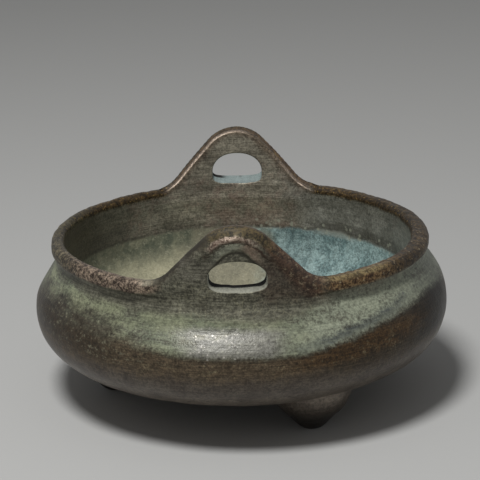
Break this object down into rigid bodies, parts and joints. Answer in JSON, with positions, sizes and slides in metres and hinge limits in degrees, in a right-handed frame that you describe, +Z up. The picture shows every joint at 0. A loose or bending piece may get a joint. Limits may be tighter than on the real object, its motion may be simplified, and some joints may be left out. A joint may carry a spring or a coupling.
{
  "type": "incense burner",
  "caption": "Low rounded incense burner: a wide-mouthed cast metal bowl with upright pierced loop ears on its lip, standing on small teat feet.",
  "frame": {"origin": "on the bowl's axis, at the level of the ground that its feet stand on", "axes": "+Z up; the ears stand at -Y (front, nearest the camera in the picture) and at +Y (back); +X to the right in the picture"},
  "size_m": [0.132, 0.132, 0.0718],
  "materials": {
    "bowl_metal": "old cast copper alloy, dark brown patina with green, buff and copper-brown patches, rubbed to a satin shine",
    "ear_metal": "the same dark patina, worn to coppery brown along the top edge",
    "foot_metal": "the same dark patina, duller under the bowl",
    "pin_metal": "copper alloy rod filed flush and patinated over"
  },
  "bodies": {
    "root": {"bowl_body": "bowl_metal", "ear_front": "ear_metal", "ear_back": "ear_metal", "ear_front_pin_left": "pin_metal", "ear_front_pin_right": "pin_metal", "ear_back_pin_left": "pin_metal", "ear_back_pin_right": "pin_metal", "foot_front_right": "foot_metal", "foot_back_right": "foot_metal", "foot_left": "foot_metal"}
  },
  "joints": []
}
